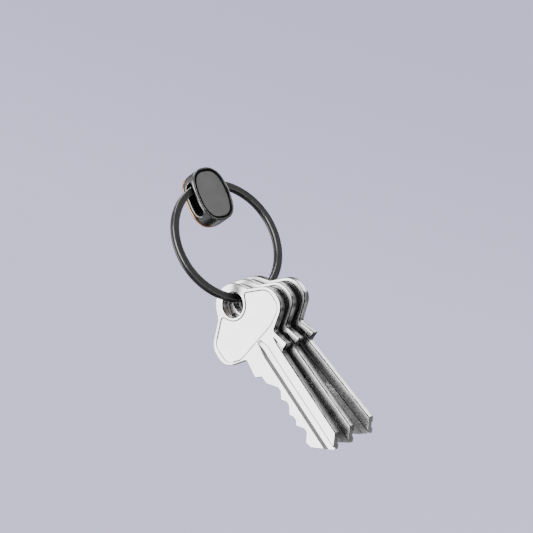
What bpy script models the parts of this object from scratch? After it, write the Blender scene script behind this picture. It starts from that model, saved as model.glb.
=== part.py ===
"""Split key ring with a slotted oval tab and three cylinder keys.

The origin is the centre of the ring. +Z points up to the tab, the ring's axis lies
along Y, and its front face looks along -Y. All lengths are in metres.
"""
import math

import bmesh
import bpy
from mathutils import Euler, Matrix, Vector

MM = 0.001

# Split ring: one flat wire wound twice
RING_OUTER_RADIUS = 17.48 * MM
RING_INNER_RADIUS = 15.62 * MM
WIRE_RADIUS = (RING_OUTER_RADIUS + RING_INNER_RADIUS) / 2
WIRE_RADIAL = RING_OUTER_RADIUS - RING_INNER_RADIUS
WIRE_AXIAL = 0.92 * MM
COIL_PITCH = 1.00 * MM
WIRE_CHAMFER = 0.14 * MM
CROSSOVER_DEG = 24.0
COIL_STEP_DEG = 6.0

# Tab: a housing with a slot through it, a front inlay and a back plate
TAB_LENGTH = 15.55 * MM
TAB_WIDTH = 11.27 * MM
TAB_SQUARENESS = 2.53
TAB_CENTRE_Z = 13.15 * MM
TAB_FRONT_Y = -2.36 * MM
HOUSING_THICKNESS = 4.98 * MM
HOUSING_EDGE_RADIUS = 0.35 * MM
SLOT_LENGTH = 9.55 * MM
SLOT_WIDTH = 3.00 * MM
RECESS_DEPTH = 0.65 * MM
RIM_WIDTH = 0.50 * MM
INLAY_THICKNESS = 0.24 * MM
INLAY_CLEARANCE = 0.20 * MM
BACK_PLATE_THICKNESS = 0.60 * MM
BACK_PLATE_GAP = 0.28 * MM
BACK_PLATE_INSET = 0.08 * MM

# Key blank, in its own plane: X across, Z up, origin at the centre of its hole
KEY_THICKNESS = 2.30 * MM
KEY_HOLE_RADIUS = 3.45 * MM
HOLE_LOBE_RADIUS = 5.75
BOW_RIGHT = (
    (6.65, 0.15, 0.9), (12.75, -3.75, 5.0), (12.75, -10.00, 4.5), (6.00, -13.45, 0.9),
    (7.35, -18.60, 0.15),
)
BOW_LEFT = (
    (-6.40, 0.05, 0.9), (-12.85, -4.45, 4.6), (-12.85, -11.10, 4.3), (-5.75, -13.95, 0.7),
    (-6.50, -19.30, 0.6),
)
BLADE_RIGHT = 4.70
BLADE_LEFT = -4.60
STOP_FOOT_Z = -19.05
HEEL_Z = -20.40
TIP = ((4.70, -44.85, 0.3), (1.40, -47.90, 0.5), (-3.75, -43.50, 0.3), (-4.25, -41.60, 0.3))
PANEL_DEPTH = 0.15 * MM
PANEL_RIM_RADIUS = 4.30
PANEL_RIGHT = (
    (4.75, -0.30, 0.15), (5.35, -0.15, 0.3), (11.45, -3.95, 3.6), (11.45, -9.80, 3.3),
    (6.20, -11.80, 3.5),
)
PANEL_LEFT = (
    (-4.60, -0.70, 0.15), (-5.25, -0.40, 0.3), (-11.45, -4.75, 3.3), (-11.45, -10.85, 3.0),
    (-7.20, -12.75, 2.5),
)

# Bitting: cuts along the blade's left edge, by depth in millimetres
CUT_START = 22.0
CUT_PITCH = 4.3
CUT_FLAT = 1.1
FLANK_SLOPE = 0.75

# Grooves milled along the blade: left edge, right edge, depth and flank, front or back
GROOVE_START_Z = -12.80
GROOVES = (
    (-0.70, 1.85, 0.80, 0.65, -1),
    (-3.30, -1.60, 0.70, 0.30, 1),
    (2.30, 3.60, 0.70, 0.30, 1),
)

# Keys on the ring: centre of the hole in millimetres, turn in degrees about X, Y and Z,
# and the depths of the cuts from the shoulder to the tip
KEYS = {
    "front_key": {
        "hole": (-5.60, 0.66, -17.34), "turn": (-6.8, -16.4, -72.1),
        "cuts": (0.15, 2.40, 2.20, 1.50, 2.25),
    },
    "middle_key": {
        "hole": (-2.37, -0.39, -17.30), "turn": (-5.4, -17.0, -72.0),
        "cuts": (0.60, 1.20, 2.30, 2.40, 1.60),
    },
    "rear_key": {
        "hole": (1.00, -1.18, -17.38), "turn": (-2.2, -18.5, -71.8),
        "cuts": (0.30, 1.80, 1.10, 2.30, 2.10),
    },
}

ARC_STEP_DEG = 15.0

XY_PLANE = Matrix.Identity(4)
XZ_PLANE = Matrix.Rotation(math.radians(90), 4, "X")
YZ_PLANE = Matrix(((0, 0, 1, 0), (1, 0, 0, 0), (0, 1, 0, 0), (0, 0, 0, 1)))


# ---------------------------------------------------------------- outlines

def rounded(corners, unit=1.0):
    """Closed outline through corners (x, y, radius), each corner turned into an arc."""
    points = []
    for i, (x, y, radius) in enumerate(corners):
        corner = Vector((x, y))
        before = (Vector(corners[i - 1][:2]) - corner).normalized()
        after = (Vector(corners[(i + 1) % len(corners)][:2]) - corner).normalized()
        half = before.angle(after) / 2
        centre = corner + (before + after).normalized() * radius / math.sin(half)
        start = corner + before * radius / math.tan(half) - centre
        sweep = math.pi - 2 * half
        if before.cross(after) > 0:
            sweep = -sweep
        steps = max(1, math.ceil(math.degrees(abs(sweep)) / ARC_STEP_DEG))
        for k in range(steps + 1):
            angle = sweep * k / steps
            across = Vector((-start.y, start.x))
            points.append(centre + start * math.cos(angle) + across * math.sin(angle))
    return [(p.x * unit, p.y * unit) for p in points]


def tangent_apex(right, left, radius, side):
    """Corner where two lines meet, one from each point, that touch a circle round the hole."""
    first = math.atan2(right[1], right[0])
    first += side * math.acos(radius / math.hypot(right[0], right[1]))
    second = math.atan2(left[1], -left[0])
    second = math.pi - second - side * math.acos(radius / math.hypot(left[0], left[1]))
    middle = (first + second) / 2
    reach = radius / math.cos((first - second) / 2)
    return (reach * math.cos(middle), reach * math.sin(middle), radius)


def oval(length, width, count=48):
    """Superellipse with its long axis upright."""
    power = 2 / TAB_SQUARENESS
    points = []
    for i in range(count):
        angle = 2 * math.pi * i / count
        c, s = math.cos(angle), math.sin(angle)
        x = math.copysign(abs(c) ** power, c) * width / 2
        y = math.copysign(abs(s) ** power, s) * length / 2
        points.append((x, y))
    return points


def circle(radius, count=28):
    turn = 2 * math.pi / count
    return [(radius * math.cos(i * turn), radius * math.sin(i * turn)) for i in range(count)]


def bitting(cuts):
    """Corners of the cut edge from the tip up to the shoulder."""
    corners = []
    half_flat = CUT_FLAT / 2
    reach = FLANK_SLOPE * (CUT_PITCH - CUT_FLAT)
    for i in reversed(range(len(cuts))):
        depth = cuts[i]
        middle = CUT_START + i * CUT_PITCH
        corners.append((BLADE_LEFT + depth, -(middle + half_flat), 0.3))
        corners.append((BLADE_LEFT + depth, -(middle - half_flat), 0.3))
        if i > 0:
            peak = max((depth + cuts[i - 1] - reach) / 2, 0.05)
            run = (depth - peak) / FLANK_SLOPE
            corners.append((BLADE_LEFT + peak, -(middle - half_flat - run), 0.08))
    return corners


def key_outline(cuts):
    apex = tangent_apex(BOW_RIGHT[0], BOW_LEFT[0], HOLE_LOBE_RADIUS, 1)
    blade = [(BLADE_RIGHT, STOP_FOOT_Z, 0.3), *TIP, *bitting(cuts), (BLADE_LEFT, HEEL_Z, 0.1)]
    return rounded([apex, *BOW_RIGHT, *blade, *reversed(BOW_LEFT)], MM)


def panel_outline():
    apex = tangent_apex(PANEL_RIGHT[0], PANEL_LEFT[0], PANEL_RIM_RADIUS, -1)
    return rounded([apex, *PANEL_RIGHT, *reversed(PANEL_LEFT)], MM)


# ---------------------------------------------------------------- shapes

def clear_scene():
    for item in list(bpy.data.objects):
        bpy.data.objects.remove(item, do_unlink=True)


def new_collection(name):
    group = bpy.data.collections.new(name)
    bpy.context.scene.collection.children.link(group)
    return group


def poly_spline(curve, points, cyclic):
    spline = curve.splines.new("POLY")
    spline.points.add(len(points) - 1)
    for point, place in zip(spline.points, points):
        point.co = (*place, 0.0, 1.0) if len(place) == 2 else (*place, 1.0)
    spline.use_cyclic_u = cyclic


def welded_mesh(name, curve_object):
    """Mesh of a curve, with its caps joined to its sides."""
    depsgraph = bpy.context.evaluated_depsgraph_get()
    mesh = bpy.data.meshes.new_from_object(curve_object.evaluated_get(depsgraph))
    mesh.name = name
    edit = bmesh.new()
    edit.from_mesh(mesh)
    bmesh.ops.remove_doubles(edit, verts=edit.verts, dist=0.001 * MM)
    bmesh.ops.recalc_face_normals(edit, faces=edit.faces)
    edit.to_mesh(mesh)
    edit.free()
    bpy.data.objects.remove(curve_object, do_unlink=True)
    return mesh


def flat_mesh(name, outlines, thickness, plane):
    """Plate from one outline and its holes, lying in the given plane, centred on it."""
    curve = bpy.data.curves.new(name, "CURVE")
    curve.dimensions = "2D"
    curve.fill_mode = "BOTH"
    curve.extrude = thickness / 2
    for points in outlines:
        poly_spline(curve, points, True)
    shape = bpy.data.objects.new(name, curve)
    bpy.context.scene.collection.objects.link(shape)
    mesh = welded_mesh(name, shape)
    mesh.transform(plane)
    return mesh


def make_object(name, mesh, group):
    item = bpy.data.objects.new(name, mesh)
    group.objects.link(item)
    return item


def finish_part(item, material):
    item.data.materials.append(material)
    item.data.shade_smooth()
    item.data.set_sharp_from_angle(angle=math.radians(30))


def cut(item, cutter):
    cutter.hide_render = True
    cutter.display_type = "WIRE"
    cutter.parent = item
    boolean = item.modifiers.new("cut_" + cutter.name, "BOOLEAN")
    boolean.operation = "DIFFERENCE"
    boolean.solver = "EXACT"
    boolean.object = cutter


def make_material(name, colour, metallic, roughness):
    material = bpy.data.materials.new(name)
    material.use_nodes = True
    shader = material.node_tree.nodes["Principled BSDF"]
    shader.inputs["Base Color"].default_value = (*colour, 1.0)
    shader.inputs["Metallic"].default_value = metallic
    shader.inputs["Roughness"].default_value = roughness
    return material


# ---------------------------------------------------------------- split ring

def coil_points():
    """Centreline of the wire: front turn, crossover inside the tab, back turn."""
    end = 720.0 - CROSSOVER_DEG
    count = round(end / COIL_STEP_DEG)
    points = []
    for i in range(count + 1):
        travelled = end * i / count
        across = (travelled - (360.0 - CROSSOVER_DEG)) / CROSSOVER_DEG
        across = min(max(across, 0.0), 1.0)
        ease = across * across * (3.0 - 2.0 * across)
        height = COIL_PITCH * (0.5 - ease)
        angle = math.radians(travelled + CROSSOVER_DEG / 2)
        points.append((WIRE_RADIUS * math.sin(angle), WIRE_RADIUS * math.cos(angle), height))
    return points


def make_ring(group, guides, material):
    half_radial = WIRE_RADIAL / 2 / MM
    half_axial = WIRE_AXIAL / 2 / MM
    chamfer = WIRE_CHAMFER / MM
    section = bpy.data.curves.new("wire_section", "CURVE")
    section.dimensions = "2D"
    outline = []
    for x_sign, y_sign in ((1, 1), (-1, 1), (-1, -1), (1, -1)):
        flat_end = (x_sign * (half_radial - chamfer) * MM, y_sign * half_axial * MM)
        side_end = (x_sign * half_radial * MM, y_sign * (half_axial - chamfer) * MM)
        outline += [side_end, flat_end] if x_sign == y_sign else [flat_end, side_end]
    poly_spline(section, outline, True)
    guide = bpy.data.objects.new("wire_section", section)
    guides.objects.link(guide)
    guide.hide_render = True
    guide.display_type = "WIRE"

    path = bpy.data.curves.new("split_ring", "CURVE")
    path.dimensions = "3D"
    path.twist_mode = "Z_UP"
    path.bevel_mode = "OBJECT"
    path.bevel_object = guide
    path.use_fill_caps = True
    poly_spline(path, coil_points(), False)
    coil = bpy.data.objects.new("split_ring", path)
    bpy.context.scene.collection.objects.link(coil)
    mesh = welded_mesh("split_ring", coil)
    mesh.transform(XZ_PLANE)
    finish_part(make_object("split_ring", mesh, group), material)


# ---------------------------------------------------------------- tab

def place_on_tab(item, y):
    item.location = (0.0, y, TAB_CENTRE_Z)


def make_tab(group, cutters, materials):
    outline = oval(TAB_LENGTH, TAB_WIDTH)
    housing_y = TAB_FRONT_Y + HOUSING_THICKNESS / 2
    mesh = flat_mesh("tab_housing", [outline], HOUSING_THICKNESS, XZ_PLANE)
    housing = make_object("tab_housing", mesh, group)
    place_on_tab(housing, housing_y)
    bevel = housing.modifiers.new("edge", "BEVEL")
    bevel.width = HOUSING_EDGE_RADIUS
    bevel.segments = 2
    bevel.limit_method = "ANGLE"
    bevel.angle_limit = math.radians(60)

    half_width = SLOT_WIDTH / 2
    half_length = SLOT_LENGTH / 2
    slot_corners = [
        (half_width, half_length, half_width * 0.98),
        (-half_width, half_length, half_width * 0.98),
        (-half_width, -half_length, half_width * 0.98),
        (half_width, -half_length, half_width * 0.98),
    ]
    slot_mesh = flat_mesh("tab_slot", [rounded(slot_corners)], 2 * TAB_WIDTH, YZ_PLANE)
    cut(housing, make_object("tab_slot", slot_mesh, cutters))

    recess = oval(TAB_LENGTH - 2 * RIM_WIDTH, TAB_WIDTH - 2 * RIM_WIDTH)
    recess_mesh = flat_mesh("tab_recess", [recess], 2 * RECESS_DEPTH, XZ_PLANE)
    recess_cutter = make_object("tab_recess", recess_mesh, cutters)
    recess_cutter.location.y = -HOUSING_THICKNESS / 2
    cut(housing, recess_cutter)
    finish_part(housing, materials["gunmetal"])

    inset = 2 * (RIM_WIDTH + 0.3 * MM)
    inlay_outline = oval(TAB_LENGTH - inset, TAB_WIDTH - inset)
    inlay_mesh = flat_mesh("tab_front_inlay", [inlay_outline], INLAY_THICKNESS, XZ_PLANE)
    inlay = make_object("tab_front_inlay", inlay_mesh, group)
    inlay_back = TAB_FRONT_Y + RECESS_DEPTH - INLAY_CLEARANCE
    place_on_tab(inlay, inlay_back - INLAY_THICKNESS / 2)
    finish_part(inlay, materials["inlay"])

    plate_outline = oval(TAB_LENGTH - 2 * BACK_PLATE_INSET, TAB_WIDTH - 2 * BACK_PLATE_INSET)
    plate_mesh = flat_mesh("tab_back_plate", [plate_outline], BACK_PLATE_THICKNESS, XZ_PLANE)
    plate = make_object("tab_back_plate", plate_mesh, group)
    plate_front = TAB_FRONT_Y + HOUSING_THICKNESS + BACK_PLATE_GAP
    place_on_tab(plate, plate_front + BACK_PLATE_THICKNESS / 2)
    finish_part(plate, materials["copper"])


# ---------------------------------------------------------------- keys

def groove_cutter(name, left, right, depth, flank, side):
    """Trapezoid bar that mills one groove, from under the bow past the tip."""
    face = side * KEY_THICKNESS / 2 / MM
    proud = face + side * 0.5
    floor = face - side * depth
    corners = [(left, face), (left + flank, floor), (right, floor), (right, proud), (left, proud)]
    length = GROOVE_START_Z - TIP[1][1] + 3.0
    mesh = flat_mesh(name, [[(x * MM, y * MM) for x, y in corners]], length * MM, XY_PLANE)
    mesh.transform(Matrix.Translation((0, 0, (GROOVE_START_Z - length / 2) * MM)))
    return mesh


def make_key(name, spec, group, cutters, material):
    """Key with its origin at the centre of its hole, on the axis it swings about."""
    outlines = [key_outline(spec["cuts"]), circle(KEY_HOLE_RADIUS)]
    key = make_object(name, flat_mesh(name, outlines, KEY_THICKNESS, XZ_PLANE), group)
    key.location = [c * MM for c in spec["hole"]]
    key.rotation_euler = Euler([math.radians(a) for a in spec["turn"]])

    for side in (-1, 1):
        panel_name = f"{name}_panel_{'front' if side < 0 else 'back'}"
        panel = flat_mesh(panel_name, [panel_outline()], 2 * PANEL_DEPTH, XZ_PLANE)
        panel.transform(Matrix.Translation((0, side * KEY_THICKNESS / 2, 0)))
        cut(key, make_object(panel_name, panel, cutters))
    for i, groove in enumerate(GROOVES):
        groove_name = f"{name}_groove_{i + 1}"
        cut(key, make_object(groove_name, groove_cutter(groove_name, *groove), cutters))
    finish_part(key, material)


def main():
    clear_scene()
    group = new_collection("split_key_ring")
    cutters = new_collection("cutters")
    materials = {
        "black_steel": make_material("black_steel", (0.045, 0.046, 0.048), 0.9, 0.35),
        "gunmetal": make_material("gunmetal", (0.16, 0.17, 0.17), 1.0, 0.28),
        "inlay": make_material("inlay", (0.20, 0.20, 0.20), 0.6, 0.55),
        "copper": make_material("copper", (0.72, 0.40, 0.24), 1.0, 0.30),
        "nickel": make_material("nickel", (0.78, 0.78, 0.77), 1.0, 0.22),
    }
    make_ring(group, cutters, materials["black_steel"])
    make_tab(group, cutters, materials)
    for name, spec in KEYS.items():
        make_key(name, spec, group, cutters, materials["nickel"])


main()
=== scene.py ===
"""Looks of a split key ring with a sliding tab and three cylinder keys.

Every piece is built in millimetres and scaled to metres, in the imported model's frame:
the ring's centre is the origin, +Z points up to the tab and the front looks along -Y.
"""

import math

import bmesh
import bpy
from mathutils import Euler, Matrix, Vector


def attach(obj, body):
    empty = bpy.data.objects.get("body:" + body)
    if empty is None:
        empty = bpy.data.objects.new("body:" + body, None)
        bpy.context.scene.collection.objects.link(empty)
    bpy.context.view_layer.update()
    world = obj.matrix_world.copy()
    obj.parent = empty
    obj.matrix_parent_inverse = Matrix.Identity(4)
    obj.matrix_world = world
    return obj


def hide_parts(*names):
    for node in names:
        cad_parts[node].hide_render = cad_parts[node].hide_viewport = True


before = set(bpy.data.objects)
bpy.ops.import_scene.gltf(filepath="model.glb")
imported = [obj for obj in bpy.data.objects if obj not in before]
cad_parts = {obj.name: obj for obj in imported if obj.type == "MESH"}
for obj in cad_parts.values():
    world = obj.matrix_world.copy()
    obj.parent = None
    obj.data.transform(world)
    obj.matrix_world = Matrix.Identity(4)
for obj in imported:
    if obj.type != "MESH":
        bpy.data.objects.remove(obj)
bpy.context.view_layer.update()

MM = 0.001

# Camera at the photograph's viewing angle
CAMERA_PLACE = (-0.221466, -0.266499, -0.059485)
CAMERA_TURN_DEG = (98.700, 22.662, -37.502)
CAMERA_LENS_MM = 87.805

# Backdrop: direction in which its glow darkens as a painted fall-off of light, and the fade from, to
# and strengths
BACKDROP_UP = (0.440, -0.518, 0.734)
BACKDROP_FADE = (0.0, 0.42, 1.0, 0.82)

# Split ring
WIRE_RADIUS = 16.55
WIRE_HALF_RADIAL = 0.93
WIRE_HALF_AXIAL = 0.46
WIRE_FILLET = 0.22
COIL_PITCH = 1.00
CROSSOVER_DEG = 24.0
COIL_STEP_DEG = 2.0
WIRE_END_SIZE = 0.85
WIRE_END_DEG = 0.35
# Depth beyond which the wire's corners get painted highlights, a warm one at the back
PAINTED_HIGHLIGHT_FROM_Y = 0.7

# Tab
TAB_CENTRE_Z = 13.15
TAB_HALF_Z = 7.775
TAB_HALF_X = 5.635
TAB_SQUARENESS = 2.53
TAB_POINTS = 160
HOUSING_FRONT_Y = -2.36
HOUSING_BACK_Y = 2.62
SLOT_HALF_Z = 4.775
SLOT_HALF_Y = 1.50
SLOT_CENTRE_Y = 0.13
SLOT_FILLET = 0.40
INLAY_INSET = 1.18
INLAY_FRONT_Y = -2.06
INLAY_BACK_Y = -1.92
PLATE_FRONT_Y = 2.90
PLATE_BACK_Y = 3.50
PLATE_INSET = 0.08

# Key blank: X across the blade, Z up the key, front face towards -Y, origin in the hole
KEY_HALF_THICKNESS = 1.15
KEY_HOLE_RADIUS = 3.45
KEY_EDGE_BREAK = 0.14
HOLE_LOBE_RADIUS = 5.75
BOW_RIGHT = (
    (6.65, 0.15, 0.9), (12.75, -3.75, 5.0), (12.75, -10.00, 4.5), (6.00, -13.45, 0.9),
    (7.35, -18.60, 0.2),
)
BOW_LEFT = (
    (-6.40, 0.05, 0.9), (-12.85, -4.45, 4.6), (-12.85, -11.10, 4.3), (-5.75, -13.95, 0.7),
    (-6.50, -19.30, 0.6),
)
BLADE_RIGHT = 4.70
BLADE_LEFT = -4.60
STOP_FOOT_Z = -19.05
HEEL_Z = -20.40
TIP = ((4.70, -44.85, 0.3), (1.40, -47.90, 0.5), (-3.75, -43.50, 0.3), (-4.25, -41.60, 0.3))
PANEL_DEPTH = 0.15
PANEL_SLOPE = 0.20
PANEL_LINE_WIDTH = 0.12
PANEL_LINE_REACH = 0.2
PANEL_LINE_LEFT = -9.0
PANEL_RIM_RADIUS = 4.30
PANEL_RIGHT = (
    (4.75, -0.30, 0.15), (5.35, -0.15, 0.3), (11.45, -3.95, 3.6), (11.45, -9.80, 3.3),
    (6.20, -11.80, 3.5),
)
PANEL_LEFT = (
    (-4.60, -0.70, 0.15), (-5.25, -0.40, 0.3), (-11.45, -4.75, 3.3), (-11.45, -10.85, 3.0),
    (-7.20, -12.75, 2.5),
)
CUT_START = 22.0
CUT_PITCH = 4.3
CUT_FLAT = 1.1
CUT_ROUNDING = 0.45
PEAK_ROUNDING = 0.25
SHALLOWEST_PEAK = 0.05
SHALLOWEST_CUT = 0.2
FLANK_SLOPE = 0.75
ARC_STEP_DEG = 5.0

# Grooves: left and right edge where they start and once full, depth, flank, side,
# height of their start, and length of the milling cutter's run-out
GROOVE_LENGTH = 38.0
GROOVE_STEPS = 10
GROOVE_PROUD = 0.007
GROOVE_LIP_WIDTH = 0.28
GROOVE_LIP_DEPTH = 0.05
GROOVES = (
    ((0.00, 1.15), (-0.70, 1.85), 0.80, 0.65, -1, -12.6, 4.6),
    ((-2.90, -2.00), (-3.30, -1.60), 0.70, 0.30, 1, -12.6, 4.0),
    ((2.60, 3.30), (2.30, 3.60), 0.70, 0.30, 1, -12.6, 4.0),
    ((4.80, 4.86), (4.52, 5.15), 0.26, 0.28, -1, -14.6, 2.5),
)

# Keys on the ring: the hole's centre, turn in degrees about X, Y and Z, depths of the cuts
KEYS = {
    "front_key": {
        "hole": (-5.60, 0.66, -17.34), "turn": (-6.8, -16.4, -72.1),
        "cuts": (0.15, 2.40, 2.20, 1.50, 2.25),
    },
    "middle_key": {
        "hole": (-2.37, -0.39, -17.30), "turn": (-5.4, -17.0, -72.0),
        "cuts": (0.60, 1.20, 2.30, 2.40, 1.60),
    },
    "rear_key": {
        "hole": (1.00, -1.18, -17.38), "turn": (-2.2, -18.5, -71.8),
        "cuts": (0.30, 1.80, 1.10, 2.30, 2.10),
    },
}

# Material slots of a key; SHADED takes the painted shade of the panel line and of edge breaks facing
# left
PLATED = 0
SHEARED = 1
SHADED = 2
MILLED = 3
BOW_END_Z = -13.6
BLADE_START_Z = -12.5

# Studio bowl in metres, and its lights: direction, distance, size and power
BOWL_RADIUS = 0.9
BOWL_FLOOR_Z = -0.45
BOWL_POINTS = 96
BOWL_ARC_STEPS = 12
LIT_CENTRE = (0, 0, -0.02)
LIGHTS = {
    "key_light": ((-0.895, 0.306, 0.323), 0.6, (0.7, 0.7), 6.0),
    "rim_light": ((0.915, -0.076, 0.396), 0.7, (0.3, 0.5), 2.0),
    "top_light": ((0.1, 0.2, 1.0), 0.7, (0.5, 0.3), 3.0),
    "front_light": ((0.648, -0.749, 0.14), 0.8, (0.5, 0.5), 0.25),
}


# ---------------------------------------------------------------- outlines

def rounded(corners, step_deg=ARC_STEP_DEG):
    """Closed outline through corners (x, z, radius), each corner turned into an arc."""
    points = []
    for i, (x, y, radius) in enumerate(corners):
        corner = Vector((x, y))
        before = (Vector(corners[i - 1][:2]) - corner).normalized()
        after = (Vector(corners[(i + 1) % len(corners)][:2]) - corner).normalized()
        half = before.angle(after) / 2
        centre = corner + (before + after).normalized() * radius / math.sin(half)
        start = corner + before * radius / math.tan(half) - centre
        sweep = math.pi - 2 * half
        if before.cross(after) > 0:
            sweep = -sweep
        steps = max(2, math.ceil(math.degrees(abs(sweep)) / step_deg))
        across = Vector((-start.y, start.x))
        for k in range(steps + 1):
            angle = sweep * k / steps
            points.append(centre + start * math.cos(angle) + across * math.sin(angle))
    return [(p.x, p.y) for p in points]


def offset(points, distance):
    """Outline moved outwards by a small distance; a negative one moves it inwards."""
    ring = [Vector(p) for p in points]
    count = len(ring)
    area = sum(ring[i - 1].cross(ring[i]) for i in range(count))
    side = distance if area > 0 else -distance
    moved = []
    for i, point in enumerate(ring):
        before = (point - ring[i - 1]).normalized()
        after = (ring[(i + 1) % count] - point).normalized()
        along = (before + after).normalized()
        moved.append((point.x + along.y * side, point.y - along.x * side))
    return moved


def tangent_apex(right, left, radius, side):
    """Corner where two lines meet, one from each point, that touch a circle round the hole."""
    first = math.atan2(right[1], right[0])
    first += side * math.acos(radius / math.hypot(right[0], right[1]))
    second = math.atan2(left[1], -left[0])
    second = math.pi - second - side * math.acos(radius / math.hypot(left[0], left[1]))
    middle = (first + second) / 2
    reach = radius / math.cos((first - second) / 2)
    return (reach * math.cos(middle), reach * math.sin(middle), radius)


def oval(inset=0.0):
    """The tab's superellipse, moved inwards."""
    power = 2 / TAB_SQUARENESS
    points = []
    for i in range(TAB_POINTS):
        angle = 2 * math.pi * i / TAB_POINTS
        c = math.cos(angle)
        s = math.sin(angle)
        x = math.copysign(abs(c) ** power, c) * TAB_HALF_X
        z = math.copysign(abs(s) ** power, s) * TAB_HALF_Z
        points.append((x, z))
    return offset(points, -inset) if inset else points


def oval_half_width(z):
    """Half width of the tab at a height above its centre."""
    share = min(abs(z) / TAB_HALF_Z, 1.0)
    return TAB_HALF_X * (1 - share ** TAB_SQUARENESS) ** (1 / TAB_SQUARENESS)


def bitting(cuts):
    """Corners of the cut edge from the tip up to the shoulder."""
    corners = []
    half_flat = CUT_FLAT / 2
    reach = FLANK_SLOPE * (CUT_PITCH - CUT_FLAT)
    for i in reversed(range(len(cuts))):
        depth = cuts[i]
        if depth < SHALLOWEST_CUT:
            continue
        middle = CUT_START + i * CUT_PITCH
        corners.append((BLADE_LEFT + depth, -(middle + half_flat), CUT_ROUNDING))
        corners.append((BLADE_LEFT + depth, -(middle - half_flat), CUT_ROUNDING))
        if i > 0:
            peak = max((depth + cuts[i - 1] - reach) / 2, SHALLOWEST_PEAK)
            run = (depth - peak) / FLANK_SLOPE
            corners.append((BLADE_LEFT + peak, -(middle - half_flat - run), PEAK_ROUNDING))
    return corners


def key_outline(cuts):
    """Outline of a cut key; a cut that is too shallow to show is left straight."""
    apex = tangent_apex(BOW_RIGHT[0], BOW_LEFT[0], HOLE_LOBE_RADIUS, 1)
    blade = [(BLADE_RIGHT, STOP_FOOT_Z, 0.3), *TIP, *bitting(cuts), (BLADE_LEFT, HEEL_Z, 0.1)]
    return rounded([apex, *BOW_RIGHT, *blade, *reversed(BOW_LEFT)])


def panel_outline():
    """Outline of the pressed panel in the bow."""
    apex = tangent_apex(PANEL_RIGHT[0], PANEL_LEFT[0], PANEL_RIM_RADIUS, -1)
    return rounded([apex, *PANEL_RIGHT, *reversed(PANEL_LEFT)])


def circle(radius, count=72):
    turn = 2 * math.pi / count
    return [(radius * math.cos(i * turn), radius * math.sin(i * turn)) for i in range(count)]


# ---------------------------------------------------------------- mesh tools

def loft(rings, closed=False):
    """Mesh through rings of 3-D points with equal counts, capped unless it closes on itself."""
    verts = [point for ring in rings for point in ring]
    count = len(rings[0])
    faces = []
    spans = len(rings) if closed else len(rings) - 1
    for r in range(spans):
        low = r * count
        high = ((r + 1) % len(rings)) * count
        for i in range(count):
            j = (i + 1) % count
            faces.append((low + i, low + j, high + j, high + i))
    if not closed:
        faces.append(tuple(reversed(range(count))))
        faces.append(tuple(range(len(verts) - count, len(verts))))
    mesh = bpy.data.meshes.new("loft")
    mesh.from_pydata(verts, [], faces)
    edit = bmesh.new()
    edit.from_mesh(mesh)
    if edit.calc_volume(signed=True) < 0:
        bmesh.ops.reverse_faces(edit, faces=edit.faces)
    edit.to_mesh(mesh)
    edit.free()
    return mesh


def upright(points, y, centre_z=0.0):
    """Points (x, z) of an outline, placed at depth y."""
    return [(x, y, z + centre_z) for x, z in points]


def add_object(name, mesh):
    item = bpy.data.objects.new(name, mesh)
    bpy.context.scene.collection.objects.link(item)
    return item


def baked(item, name):
    """Mesh of an object with its modifiers applied; the object goes."""
    depsgraph = bpy.context.evaluated_depsgraph_get()
    mesh = bpy.data.meshes.new_from_object(item.evaluated_get(depsgraph))
    mesh.name = name
    bpy.data.objects.remove(item, do_unlink=True)
    return mesh


def subtract(mesh, cutters):
    """Mesh less the cutters, which are meshes too."""
    item = add_object("blank", mesh)
    tools = []
    for i, shape in enumerate(cutters):
        tool = add_object(f"cutter_{i}", shape)
        tools.append(tool)
        boolean = item.modifiers.new(f"cut_{i}", "BOOLEAN")
        boolean.operation = "DIFFERENCE"
        boolean.solver = "EXACT"
        boolean.object = tool
    result = baked(item, "cut")
    for tool in tools:
        bpy.data.objects.remove(tool, do_unlink=True)
    return result


def finish_piece(name, mesh, materials, body, nodes, smooth_deg=30):
    """Scale a millimetre mesh to metres and hand it to the frame."""
    mesh.transform(Matrix.Scale(MM, 4))
    mesh.name = name
    zones = [face.material_index for face in mesh.polygons]
    mesh.materials.clear()
    for material in materials:
        mesh.materials.append(material)
    mesh.polygons.foreach_set("material_index", zones)
    mesh.shade_smooth()
    mesh.set_sharp_from_angle(angle=math.radians(smooth_deg))
    piece = add_object(name, mesh)
    weighted = piece.modifiers.new("normals", "WEIGHTED_NORMAL")
    weighted.keep_sharp = True
    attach(piece, body)
    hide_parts(*nodes)
    return piece


# ---------------------------------------------------------------- materials

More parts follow.
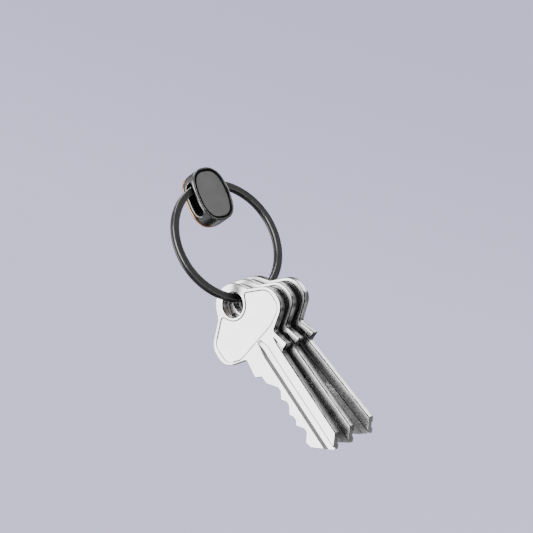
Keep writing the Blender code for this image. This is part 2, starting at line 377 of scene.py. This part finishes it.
class Nodes:
    """Short hand for building one procedural material."""

    def __init__(self, name, spec=None):
        self.material = bpy.data.materials.new(name)
        self.material.use_nodes = True
        self.tree = self.material.node_tree
        self.shader = self.tree.nodes["Principled BSDF"]
        self.place = self.add("ShaderNodeTexCoord").outputs["Object"]
        if spec:
            blank = self.add("ShaderNodeMapping", vector_type="TEXTURE")
            blank.inputs["Location"].default_value = [c * MM for c in spec["hole"]]
            blank.inputs["Rotation"].default_value = [math.radians(a) for a in spec["turn"]]
            self.link(self.place, blank.inputs["Vector"])
            self.place = blank.outputs["Vector"]

    def add(self, kind, **values):
        node = self.tree.nodes.new(kind)
        for key, value in values.items():
            setattr(node, key, value)
        return node

    def link(self, source, target):
        self.tree.links.new(source, target)

    def stretched(self, scale):
        mapping = self.add("ShaderNodeMapping")
        mapping.inputs["Scale"].default_value = scale
        self.link(self.place, mapping.inputs["Vector"])
        return mapping.outputs["Vector"]

    def noise(self, vector, scale, detail=4.0, roughness=0.55, distortion=0.0):
        node = self.add("ShaderNodeTexNoise")
        node.inputs["Scale"].default_value = scale
        node.inputs["Detail"].default_value = detail
        node.inputs["Roughness"].default_value = roughness
        node.inputs["Distortion"].default_value = distortion
        self.link(vector, node.inputs["Vector"])
        return node.outputs["Fac"]

    def ramp(self, value, low, high, low_at=0.3, high_at=0.7):
        node = self.add("ShaderNodeMapRange")
        node.inputs["From Min"].default_value = low_at
        node.inputs["From Max"].default_value = high_at
        node.inputs["To Min"].default_value = low
        node.inputs["To Max"].default_value = high
        self.link(value, node.inputs["Value"])
        return node.outputs["Result"]

    def colours(self, value, stops):
        node = self.add("ShaderNodeValToRGB")
        ramp = node.color_ramp
        while len(ramp.elements) < len(stops):
            ramp.elements.new(0.5)
        for element, (place, colour) in zip(ramp.elements, stops):
            element.position = place
            element.color = (*colour, 1.0)
        self.link(value, node.inputs["Fac"])
        return node.outputs["Color"]

    def maths(self, operation, a, b):
        node = self.add("ShaderNodeMath", operation=operation)
        for socket, value in zip(node.inputs, (a, b)):
            if isinstance(value, (int, float)):
                socket.default_value = value
            else:
                self.link(value, socket)
        return node.outputs["Value"]

    def bump(self, height, strength, distance_mm, under=None):
        node = self.add("ShaderNodeBump")
        node.inputs["Strength"].default_value = strength
        node.inputs["Distance"].default_value = distance_mm * MM
        self.link(height, node.inputs["Height"])
        if under is not None:
            self.link(under, node.inputs["Normal"])
        return node.outputs["Normal"]

    def set(self, socket, value):
        target = self.shader.inputs[socket]
        if isinstance(value, (int, float, tuple)):
            target.default_value = value
        else:
            self.link(value, target)


def nickel_face(name, spec):
    """Bright plated face with faint handling marks."""
    n = Nodes(f"{name}_face", spec)
    cloud = n.noise(n.place, 160, 5.0, 0.6)
    fine = n.noise(n.place, 2600, 3.0, 0.6)
    scratches = n.noise(n.stretched((900, 900, 60)), 1.0, 3.0, 0.6, 0.4)
    n.set("Base Color", n.colours(cloud, ((0.3, (0.83, 0.83, 0.83)), (0.7, (0.92, 0.92, 0.91)))))
    n.set("Metallic", 1.0)
    n.set("Roughness", n.ramp(n.maths("ADD", cloud, scratches), 0.16, 0.27, 0.7, 1.3))
    ripple = n.bump(cloud, 0.25, 0.05)
    grain = n.bump(fine, 0.2, 0.004, ripple)
    n.set("Normal", n.bump(scratches, 0.12, 0.004, grain))
    return n.material


def nickel_edge(name, spec):
    """Sheared edge: a bright burnished band and a grey torn one, with painted shade as dark bands at
    both faces.
    """
    n = Nodes(f"{name}_edge", spec)
    split = n.add("ShaderNodeSeparateXYZ")
    n.link(n.place, split.inputs[0])
    depth = n.ramp(split.outputs["Y"], 0.0, 1.0, -KEY_HALF_THICKNESS * MM, KEY_HALF_THICKNESS * MM)
    drag = n.noise(n.stretched((230, 1500, 230)), 1.0, 4.0, 0.65)
    waver = n.maths("ADD", depth, n.ramp(drag, -0.10, 0.10))
    torn = n.noise(n.stretched((420, 900, 420)), 1.0, 4.0, 0.65)
    # End stops are painted shade by both faces; the light and grey stops between are the burnished
    # and torn bands
    tone = n.colours(waver, (
        (0.00, (0.05, 0.05, 0.05)), (0.10, (0.07, 0.07, 0.07)), (0.18, (0.85, 0.85, 0.85)),
        (0.46, (0.80, 0.80, 0.80)), (0.58, (0.34, 0.34, 0.34)), (0.74, (0.60, 0.60, 0.60)),
        (0.90, (0.16, 0.16, 0.16)), (1.00, (0.06, 0.06, 0.06)),
    ))
    mottle = n.colours(torn, ((0.36, (0.48, 0.48, 0.48)), (0.60, (1.0, 1.0, 1.0))))
    mix = n.add("ShaderNodeMix", data_type="RGBA", blend_type="MULTIPLY")
    mix.inputs["Factor"].default_value = 0.8
    n.link(tone, mix.inputs[6])
    n.link(mottle, mix.inputs[7])
    n.set("Base Color", mix.outputs[2])
    n.set("Metallic", 1.0)
    n.set("Roughness", n.ramp(torn, 0.20, 0.38))
    n.set("Normal", n.bump(torn, 0.3, 0.02, n.bump(drag, 0.35, 0.05)))
    return n.material


def nickel_milled(name, spec):
    """Groove walls, with the milling cutter's lines along the blade."""
    n = Nodes(f"{name}_milled", spec)
    lines = n.noise(n.stretched((5200, 5200, 120)), 1.0, 3.0, 0.6)
    cloud = n.noise(n.place, 500, 3.0, 0.6)
    n.set("Base Color", n.colours(lines, ((0.3, (0.52, 0.52, 0.52)), (0.7, (0.74, 0.74, 0.74)))))
    n.set("Metallic", 1.0)
    n.set("Roughness", n.ramp(cloud, 0.30, 0.42))
    n.set("Normal", n.bump(lines, 0.2, 0.006))
    return n.material


def painted_shade_line(name, spec):
    """Painted shade: near-black colour on the slopes of the pressed panel and of the edges' break."""
    n = Nodes(f"{name}_line", spec)
    patchiness = n.noise(n.place, 900, 3.0, 0.6)
    n.set("Base Color", n.colours(patchiness, ((0.3, (0.03, 0.03, 0.03)), (0.7, (0.07, 0.07, 0.07)))))
    n.set("Metallic", 1.0)
    n.set("Roughness", n.ramp(patchiness, 0.30, 0.42))
    n.set("Normal", n.bump(patchiness, 0.15, 0.01))
    return n.material


def ring_coordinates(n):
    """Radius and depth round the ring's axis, for marks that run along the wire."""
    split = n.add("ShaderNodeSeparateXYZ")
    n.link(n.place, split.inputs[0])
    across = n.maths("POWER", split.outputs["X"], 2)
    along = n.maths("POWER", split.outputs["Z"], 2)
    radius = n.maths("SQRT", n.maths("ADD", across, along), 0)
    angle = n.maths("ARCTAN2", split.outputs["X"], split.outputs["Z"])
    join = n.add("ShaderNodeCombineXYZ")
    n.link(n.maths("MULTIPLY", radius, 3600), join.inputs["X"])
    n.link(n.maths("MULTIPLY", split.outputs["Y"], 3600), join.inputs["Y"])
    n.link(n.maths("MULTIPLY", angle, 3.0), join.inputs["Z"])
    return join.outputs[0]


def black_steel():
    """Dark oxide spring steel, drawn along the wire, with a painted warm highlight in copper tone at
    its rear corners.
    """
    n = Nodes("black_steel")
    drawn = n.noise(ring_coordinates(n), 1.0, 2.0, 0.5)
    spots = n.noise(n.place, 900, 3.0, 0.6)
    split = n.add("ShaderNodeSeparateXYZ")
    n.link(n.place, split.inputs[0])
    # Band near the rear face painted copper: a painted warm highlight standing in for a warm rim
    # light
    begin = n.ramp(split.outputs["Y"], 0.0, 1.0, 0.68 * MM, 0.76 * MM)
    end = n.ramp(split.outputs["Y"], 1.0, 0.0, 0.93 * MM, 0.955 * MM)
    warm_highlight_mask = n.maths("MULTIPLY", begin, end)
    steel = n.colours(drawn, ((0.25, (0.055, 0.055, 0.056)), (0.75, (0.095, 0.095, 0.096))))
    mix = n.add("ShaderNodeMix", data_type="RGBA")
    n.link(warm_highlight_mask, mix.inputs["Factor"])
    n.link(steel, mix.inputs[6])
    mix.inputs[7].default_value = (0.80, 0.50, 0.34, 1.0)
    n.set("Base Color", mix.outputs[2])
    n.set("Metallic", n.ramp(warm_highlight_mask, 0.9, 0.15, 0.0, 1.0))
    n.set("Roughness", n.ramp(spots, 0.26, 0.36))
    n.set("Normal", n.bump(spots, 0.05, 0.004, n.bump(drawn, 0.08, 0.004)))
    return n.material


def painted_edge_highlight(name, dark, light):
    """Painted highlight on an edge: a lighter colour than the oxide, standing in for light caught on
    the corner.
    """
    n = Nodes(name)
    patchiness = n.noise(n.place, 420, 4.0, 0.6)
    n.set("Base Color", n.colours(patchiness, ((0.3, dark), (0.62, light))))
    n.set("Metallic", 1.0)
    n.set("Roughness", n.ramp(patchiness, 0.34, 0.24))
    n.set("Normal", n.bump(patchiness, 0.08, 0.008))
    return n.material


def gunmetal():
    """Dark polished plating with soft casting ripple."""
    n = Nodes("gunmetal")
    ripple = n.noise(n.place, 260, 3.0, 0.5)
    fine = n.noise(n.place, 900, 2.0, 0.6)
    n.set("Base Color", n.colours(ripple, ((0.3, (0.19, 0.195, 0.19)), (0.7, (0.25, 0.255, 0.25)))))
    n.set("Metallic", 1.0)
    n.set("Roughness", n.ramp(fine, 0.24, 0.32))
    n.set("Normal", n.bump(ripple, 0.05, 0.01))
    return n.material


def recess_painted_shade():
    """Painted shade: near-black colour in the recess and the slot, where shade falls."""
    n = Nodes("recess_painted_shade")
    fine = n.noise(n.place, 500, 3.0, 0.6)
    n.set("Base Color", n.colours(fine, ((0.3, (0.008, 0.008, 0.009)), (0.7, (0.016, 0.016, 0.017)))))
    n.set("Metallic", 0.4)
    n.set("Roughness", n.ramp(fine, 0.45, 0.60))
    n.set("Normal", n.bump(fine, 0.05, 0.004))
    return n.material


def inlay_grey():
    """Matt grey with a fine pressed texture."""
    n = Nodes("inlay_grey")
    grain = n.noise(n.place, 3000, 2.0, 0.7)
    cloud = n.noise(n.place, 300, 3.0, 0.5)
    n.set("Base Color", n.colours(cloud, ((0.3, (0.31, 0.31, 0.31)), (0.7, (0.37, 0.37, 0.37)))))
    n.set("Metallic", 0.35)
    n.set("Roughness", n.ramp(grain, 0.5, 0.7))
    n.set("Normal", n.bump(grain, 0.35, 0.015))
    return n.material


def copper():
    """Copper-coloured plate with a brushed edge."""
    n = Nodes("copper")
    brushed = n.noise(n.stretched((400, 6000, 400)), 1.0, 3.0, 0.6)
    n.set("Base Color", n.colours(brushed, ((0.3, (0.70, 0.34, 0.17)), (0.7, (0.86, 0.50, 0.30)))))
    n.set("Metallic", 1.0)
    n.set("Roughness", n.ramp(brushed, 0.22, 0.36))
    n.set("Normal", n.bump(brushed, 0.2, 0.01))
    return n.material


# ---------------------------------------------------------------- split ring

def wire_frame(travelled):
    """Place and outward direction of the wire's centreline."""
    across = (travelled - (360.0 - CROSSOVER_DEG)) / CROSSOVER_DEG
    across = min(max(across, 0.0), 1.0)
    ease = across * across * (3.0 - 2.0 * across)
    depth = -COIL_PITCH * (0.5 - ease)
    angle = math.radians(travelled + CROSSOVER_DEG / 2)
    outward = Vector((math.sin(angle), 0.0, math.cos(angle)))
    return outward * WIRE_RADIUS + Vector((0.0, depth, 0.0)), outward


def make_ring(steel, bright, warm):
    """Two turns of flat wire, with painted highlights on its corners at the front and the back."""
    corners = []
    for x, y in ((1, 1), (-1, 1), (-1, -1), (1, -1)):
        corners.append((x * WIRE_HALF_RADIAL, y * WIRE_HALF_AXIAL, WIRE_FILLET))
    section = rounded(corners, 30.0)
    end = 720.0 - CROSSOVER_DEG
    count = round(end / COIL_STEP_DEG)
    stations = [(end * i / count, 1.0) for i in range(count + 1)]
    first = [(0.0, WIRE_END_SIZE), (WIRE_END_DEG, 1.0)]
    last = [(end - WIRE_END_DEG, 1.0), (end, WIRE_END_SIZE)]
    stations = first + stations[1:-1] + last
    rings = []
    for travelled, size in stations:
        place, outward = wire_frame(travelled)
        ring = []
        for radial, axial in section:
            ring.append(place + outward * radial * size + Vector((0, axial * size, 0)))
        rings.append([tuple(p) for p in ring])
    mesh = loft(rings)
    # Rear corners get the warm painted highlight, front corners the plain painted highlight
    for face in mesh.polygons:
        centre = face.center
        on_corner = 0.2 < abs(face.normal.y) < 0.98
        if on_corner and centre.y > PAINTED_HIGHLIGHT_FROM_Y:
            face.material_index = 2
        elif on_corner and centre.y < -PAINTED_HIGHLIGHT_FROM_Y:
            face.material_index = 1
    finish_piece("split_ring_wire", mesh, (steel, bright, warm), "ring", ("split_ring",), 50)


# ---------------------------------------------------------------- tab

HOUSING_PROFILE = (
    (0.36, HOUSING_BACK_Y), (0.22, 2.59), (0.10, 2.50), (0.02, 2.38), (0.0, 2.24),
    (0.0, -1.96), (0.03, -2.11), (0.10, -2.24), (0.20, -2.32), (0.32, HOUSING_FRONT_Y),
    (0.42, HOUSING_FRONT_Y), (0.50, -2.31), (0.56, -2.20), (0.61, -2.05), (0.70, -1.90),
    (0.84, -1.78), (1.05, -1.72), (1.30, -1.71),
)
RECESS_FROM_INSET = 0.53


def slot_outline(grow):
    """Stadium of the slot in (y, z) about the tab's centre."""
    half_y = SLOT_HALF_Y + grow
    half_z = SLOT_HALF_Z + grow
    radius = half_y * 0.995
    corners = [(half_y, half_z, radius), (-half_y, half_z, radius)]
    corners += [(-half_y, -half_z, radius), (half_y, -half_z, radius)]
    return rounded(corners, 9.0)


def open_slot(mesh):
    """Replace the square-edged slot's walls by rounded mouths and a straight bore."""
    edit = bmesh.new()
    edit.from_mesh(mesh)
    walls = []
    for face in edit.faces:
        centre = face.calc_center_median()
        below = oval_half_width(centre.z - TAB_CENTRE_Z) - abs(centre.x)
        if 0.03 < below < 1.0 and in_stadium(centre, SLOT_FILLET + 0.02):
            walls.append(face)
    bmesh.ops.delete(edit, geom=walls, context="FACES_ONLY")
    loose = [edge for edge in edit.edges if not edge.link_faces]
    bmesh.ops.delete(edit, geom=loose, context="EDGES")
    mouths = {1: [], -1: []}
    for edge in edit.edges:
        if edge.is_boundary:
            side = 1 if edge.verts[0].co.x > 0 else -1
            mouths[side].append(edge)
    bores = {}
    for side, edges in mouths.items():
        ring = ordered_loop(edges)
        rows = [ring]
        steps = 7
        for k in range(1, steps + 1):
            t = k / steps
            row = []
            for vert in ring:
                row.append(edit.verts.new(mouth_point(vert.co, side, t)))
            rows.append(row)
        for low, high in zip(rows, rows[1:]):
            join_rows(edit, low, high)
        bores[side] = rows[-1]
    join_rows(edit, bores[1], matched(bores[1], bores[-1]))
    bmesh.ops.recalc_face_normals(edit, faces=edit.faces)
    edit.to_mesh(mesh)
    edit.free()
    return mesh


def in_stadium(point, grow):
    """Whether a point lies within the slot's outline, grown a little."""
    straight = SLOT_HALF_Z - SLOT_HALF_Y
    z = point.z - TAB_CENTRE_Z
    core = min(max(z, -straight), straight)
    return math.hypot(point.y - SLOT_CENTRE_Y, z - core) < SLOT_HALF_Y + grow


def mouth_point(edge_point, side, t):
    """Point on the curve from the side wall round into the bore."""
    y = edge_point.y - SLOT_CENTRE_Y
    z = edge_point.z - TAB_CENTRE_Z
    straight = SLOT_HALF_Z - SLOT_HALF_Y
    core = min(max(z, -straight), straight)
    out = Vector((y, z - core)).normalized()
    corner_y = y - out.x * SLOT_FILLET
    corner_z = z - out.y * SLOT_FILLET
    corner_x = oval_half_width(corner_z)
    corner = Vector((side * corner_x, corner_y + SLOT_CENTRE_Y, corner_z + TAB_CENTRE_Z))
    inner = corner - Vector((side * SLOT_FILLET, 0, 0))
    return edge_point * (1 - t) ** 2 + corner * 2 * t * (1 - t) + inner * t ** 2


def ordered_loop(edges):
    """Vertices of one closed loop, in order."""
    neighbours = {}
    for edge in edges:
        a, b = edge.verts
        neighbours.setdefault(a, []).append(b)
        neighbours.setdefault(b, []).append(a)
    start = max(neighbours, key=lambda v: (round(v.co.z, 4), v.co.y))
    loop = [start]
    before = None
    here = start
    while True:
        options = [v for v in neighbours[here] if v is not before]
        after = max(options, key=lambda v: v.co.y) if before is None else options[0]
        if after is start:
            return loop
        loop.append(after)
        before = here
        here = after


def matched(ring, other):
    """The other ring's vertices in this ring's order, by height and depth."""
    return [min(other, key=lambda v: (v.co.yz - vert.co.yz).length) for vert in ring]


def join_rows(edit, low, high):
    """Quads between two closed rows of vertices."""
    for i in range(len(low)):
        j = (i + 1) % len(low)
        quad = [low[i], low[j], high[j], high[i]]
        if len(set(quad)) == 4:
            edit.faces.new(quad)


def make_housing(plating, dark):
    """The tab's body, with a recess in front and the slot through it from side to side, both in
    painted shade.
    """
    rings = [upright(oval(inset), y, TAB_CENTRE_Z) for inset, y in HOUSING_PROFILE]
    body = loft(rings)
    pockets = []
    for side in (-1, 1):
        floor = []
        mouth = []
        for y, z in slot_outline(SLOT_FILLET):
            floor.append((side * (oval_half_width(z) - 0.25), y + SLOT_CENTRE_Y, z + TAB_CENTRE_Z))
            mouth.append((side * 8.0, y + SLOT_CENTRE_Y, z + TAB_CENTRE_Z))
        pockets.append(loft([floor, mouth]))
    mesh = open_slot(subtract(body, pockets))
    for face in mesh.polygons:
        face.material_index = 0
        centre = face.center
        across = abs(centre.y - SLOT_CENTRE_Y) < SLOT_HALF_Y + 0.02
        along = abs(centre.z - TAB_CENTRE_Z) < SLOT_HALF_Z + 0.02
        # Slot walls and the recess's front faces get the painted shade
        if across and along and abs(centre.x) < TAB_HALF_X - SLOT_FILLET - 0.3:
            face.material_index = 1
        if -2.28 < centre.y < -1.6 and face.normal.y < -0.05 and in_recess(centre):
            face.material_index = 1
    finish_piece("tab_housing_shell", mesh, (plating, dark), "tab", ("tab_housing",), 40)


def in_recess(centre):
    """Whether a point of the front lies inside the recess's edge."""
    z = centre.z - TAB_CENTRE_Z
    share_x = abs(centre.x) / (TAB_HALF_X - RECESS_FROM_INSET)
    share_z = abs(z) / (TAB_HALF_Z - RECESS_FROM_INSET)
    return share_x ** TAB_SQUARENESS + share_z ** TAB_SQUARENESS < 1.0


def make_plate(name, inset, front, back, bevel, material, node, slot):
    """Flat oval plate with rounded edges."""
    third = bevel * 0.3
    profile = (
        (inset + bevel * 3, back), (inset + bevel, back), (inset + third, back - third),
        (inset, back - bevel), (inset, front + bevel), (inset + third, front + third),
        (inset + bevel, front), (inset + bevel * 3, front),
    )
    mesh = loft([upright(oval(step), y, TAB_CENTRE_Z) for step, y in profile])
    finish_piece(name, mesh, (material,), "tab", (node,), 50)


# ---------------------------------------------------------------- keys

def plate_mesh(outline):
    """The blank with its broken edges, and the punch that leaves a broken edge round the hole."""
    half = KEY_HALF_THICKNESS
    third = KEY_EDGE_BREAK * 0.3
    steps = ((KEY_EDGE_BREAK, 0.0), (third, third), (0.0, KEY_EDGE_BREAK))
    front = [upright(offset(outline, -inset), depth - half) for inset, depth in steps]
    back = [upright(offset(outline, -inset), half - depth) for inset, depth in reversed(steps)]
    punch = [(3.0, KEY_EDGE_BREAK * 2), (half + 0.06, KEY_EDGE_BREAK * 2)]
    punch += [(half - depth, inset) for inset, depth in steps[1:]]
    punch += [(-y, wider) for y, wider in reversed(punch)]
    rings = [upright(circle(KEY_HOLE_RADIUS + wider), y) for y, wider in punch]
    return loft(front + back), loft(rings)


PANEL_LINE = panel_outline()


def panel_cutter(side):
    """Shallow recess with sloped sides in one face of the bow."""
    face = side * KEY_HALF_THICKNESS
    inner = upright(offset(PANEL_LINE, -PANEL_LINE_WIDTH), face - side * PANEL_DEPTH)
    floor = upright(PANEL_LINE, face - side * (PANEL_DEPTH - 0.004))
    rise = PANEL_SLOPE * (PANEL_DEPTH + 0.03) / PANEL_DEPTH
    mouth = upright(offset(PANEL_LINE, rise), face + side * 0.03)
    return loft([inner, floor, mouth])


def groove_cutter(start, full, depth, flank, side, start_z, run_out):
    """Milled groove that deepens over the cutter's run-out and leaves through the tip."""
    face = side * KEY_HALF_THICKNESS
    proud = face + side * GROOVE_PROUD
    rings = []
    stations = [run_out * k / GROOVE_STEPS for k in range(GROOVE_STEPS + 1)] + [GROOVE_LENGTH]
    for travelled in stations:
        share = min(travelled / run_out, 1.0)
        deep = depth * (1 - (1 - share) ** 2) + 0.004
        left = start[0] + (full[0] - start[0]) * share
        right = start[1] + (full[1] - start[1]) * min(share * 1.6, 1.0)
        slant = min(flank * deep / depth, (right - left) * 0.45)
        floor = face - side * deep
        z = start_z - travelled
        lip = face - side * min(GROOVE_LIP_DEPTH, deep * 0.4)
        edge = right + GROOVE_LIP_WIDTH
        ring = [(left, proud, z), (left + slant, floor, z), (right - slant * 0.1, floor, z)]
        ring += [(right, lip, z), (edge, proud, z)]
        ring += [(edge, face + side * 0.6, z), (left, face + side * 0.6, z)]
        rings.append(ring)
    return loft(rings)


def make_key(name, spec):
    """One key, cut in its own frame and then set on the ring."""
    outer, hole = plate_mesh(key_outline(spec["cuts"]))
    cutters = [hole, panel_cutter(-1), panel_cutter(1)]
    cutters += [groove_cutter(*groove) for groove in GROOVES]
    mesh = subtract(outer, cutters)
    for face in mesh.polygons:
        face.material_index = key_zone(face)
    turn = Euler([math.radians(a) for a in spec["turn"]]).to_matrix().to_4x4()
    mesh.transform(Matrix.Translation(Vector(spec["hole"])) @ turn)
    metals = (
        nickel_face(name, spec), nickel_edge(name, spec), painted_shade_line(name, spec),
        nickel_milled(name, spec),
    )
    finish_piece(f"{name}_blank", mesh, metals, name, (name,))


def key_zone(face):
    """Material slot of one face of a key, from where it lies and how it faces."""
    facing = abs(face.normal.y)
    depth = KEY_HALF_THICKNESS - abs(face.center.y)
    point = Vector((face.center.x, face.center.z))
    on_bow = point.y > BOW_END_Z and 0.01 < depth < PANEL_DEPTH + 0.01
    if on_bow and from_outline(point, PANEL_LINE) < PANEL_LINE_REACH:
        # Panel slopes carry painted shade, left off on the bow's left side
        return PLATED if point.x < PANEL_LINE_LEFT else SHADED
    if facing > 0.999:
        return PLATED
    on_blade = point.y < BLADE_START_Z and BLADE_LEFT + 0.6 < point.x < BLADE_RIGHT - 0.25
    if on_blade and facing > 0.8 and abs(face.normal.x) < 0.1:
        return PLATED
    if facing > 0.3 and depth < KEY_EDGE_BREAK:
        if on_blade and facing > 0.9 and face.normal.x > 0:
            return MILLED
        # Edge breaks facing left carry painted shade
        return SHADED if face.normal.x < -0.05 else SHEARED
    if on_blade and depth > 0.01:
        return MILLED
    return SHEARED


def from_outline(point, outline):
    """Distance from a point to a closed outline."""
    nearest = 99.0
    for i, corner in enumerate(outline):
        start = Vector(outline[i - 1])
        along = Vector(corner) - start
        share = min(max((point - start).dot(along) / max(along.length_squared, 1e-9), 0.0), 1.0)
        nearest = min(nearest, (start + along * share - point).length)
    return nearest


# ---------------------------------------------------------------- studio

def make_camera():
    camera = bpy.data.cameras.new("camera")
    camera.lens = CAMERA_LENS_MM
    camera.sensor_width = 36.0
    camera.clip_start = 0.01
    item = add_object("camera", camera)
    item.location = CAMERA_PLACE
    item.rotation_euler = [math.radians(a) for a in CAMERA_TURN_DEG]
    bpy.context.scene.camera = item


def area_light(name, towards, distance, size, power):
    """Soft box that shines on the ring and keys from a direction."""
    lamp = bpy.data.lights.new(name, "AREA")
    lamp.shape = "RECTANGLE"
    lamp.size = size[0]
    lamp.size_y = size[1]
    lamp.energy = power
    item = add_object(name, lamp)
    direction = Vector(towards).normalized()
    item.location = Vector(LIT_CENTRE) + direction * distance
    item.rotation_euler = direction.to_track_quat("Z", "Y").to_euler()


def make_studio():
    """Pale seamless bowl round the object, glowing with a painted fall-off of light, and the light
    that its metal reflects.
    """
    profile = [(0.02, BOWL_FLOOR_Z), (BOWL_RADIUS, BOWL_FLOOR_Z)]
    for k in range(1, BOWL_ARC_STEPS + 1):
        angle = math.radians(90 * k / BOWL_ARC_STEPS)
        radius = BOWL_RADIUS * (1 + math.sin(angle))
        profile.append((radius, BOWL_FLOOR_Z + BOWL_RADIUS * (1 - math.cos(angle))))
    profile += [(1.8, 1.8), (0.02, 2.2)]
    rings = []
    for radius, z in profile:
        ring = []
        for i in range(BOWL_POINTS):
            angle = 2 * math.pi * i / BOWL_POINTS
            ring.append((radius * math.cos(angle), radius * math.sin(angle), z))
        rings.append(ring)
    mesh = loft(rings)
    mesh.flip_normals()
    mesh.shade_smooth()
    bowl = add_object("studio_floor", mesh)
    material = bpy.data.materials.new("pale_floor")
    material.use_nodes = True
    shader = material.node_tree.nodes["Principled BSDF"]
    shader.inputs["Base Color"].default_value = (0.10, 0.10, 0.11, 1)
    shader.inputs["Roughness"].default_value = 1.0
    shader.inputs["Emission Color"].default_value = (0.85, 0.80, 1.18, 1)
    nodes = material.node_tree.nodes
    links = material.node_tree.links
    height = nodes.new("ShaderNodeVectorMath")
    height.operation = "DOT_PRODUCT"
    links.new(nodes.new("ShaderNodeTexCoord").outputs["Object"], height.inputs[0])
    height.inputs[1].default_value = BACKDROP_UP
    # Glow fades along BACKDROP_UP: a painted fall-off of light across the backdrop
    fade = nodes.new("ShaderNodeMapRange")
    for socket, value in zip(("From Min", "From Max", "To Min", "To Max"), BACKDROP_FADE):
        fade.inputs[socket].default_value = value
    links.new(height.outputs["Value"], fade.inputs["Value"])
    links.new(fade.outputs["Result"], shader.inputs["Emission Strength"])
    mesh.materials.append(material)
    bowl.visible_glossy = False
    bowl.visible_diffuse = False
    bowl.visible_shadow = False

    make_surroundings()


def make_surroundings():
    """Dark studio with soft pale patches, which only shows in the metal."""
    world = bpy.data.worlds.new("studio")
    bpy.context.scene.world = world
    world.use_nodes = True
    tree = world.node_tree
    direction = tree.nodes.new("ShaderNodeTexCoord")
    patches = tree.nodes.new("ShaderNodeTexNoise")
    patches.inputs["Scale"].default_value = 2.3
    patches.inputs["Detail"].default_value = 1.0
    tree.links.new(direction.outputs["Generated"], patches.inputs["Vector"])
    tones = tree.nodes.new("ShaderNodeValToRGB")
    tones.color_ramp.elements[0].position = 0.44
    tones.color_ramp.elements[0].color = (0.03, 0.03, 0.03, 1)
    tones.color_ramp.elements[1].position = 0.60
    tones.color_ramp.elements[1].color = (0.90, 0.90, 0.92, 1)
    tree.links.new(patches.outputs["Fac"], tones.inputs["Fac"])
    tree.links.new(tones.outputs["Color"], tree.nodes["Background"].inputs["Color"])
    tree.nodes["Background"].inputs["Strength"].default_value = 0.8


def main():
    make_camera()
    make_studio()
    for name, light in LIGHTS.items():
        area_light(name, *light)

    # Painted highlights for the ring's front corners and, in a warm tone, its rear corners
    bright = painted_edge_highlight("painted_front_highlight", (0.20, 0.20, 0.20), (0.30, 0.30, 0.30))
    warm = painted_edge_highlight("painted_warm_rear_highlight", (0.35, 0.20, 0.13), (0.95, 0.66, 0.48))
    make_ring(black_steel(), bright, warm)
    make_housing(gunmetal(), recess_painted_shade())
    inlay = (INLAY_INSET, INLAY_FRONT_Y, INLAY_BACK_Y)
    plate = (PLATE_INSET, PLATE_FRONT_Y, PLATE_BACK_Y)
    make_plate("tab_front_inlay_plate", *inlay, 0.05, inlay_grey(), "tab_front_inlay", "inlay")
    make_plate("tab_back_plate_disc", *plate, 0.10, copper(), "tab_back_plate", "copper")
    for name, spec in KEYS.items():
        make_key(name, spec)


main()
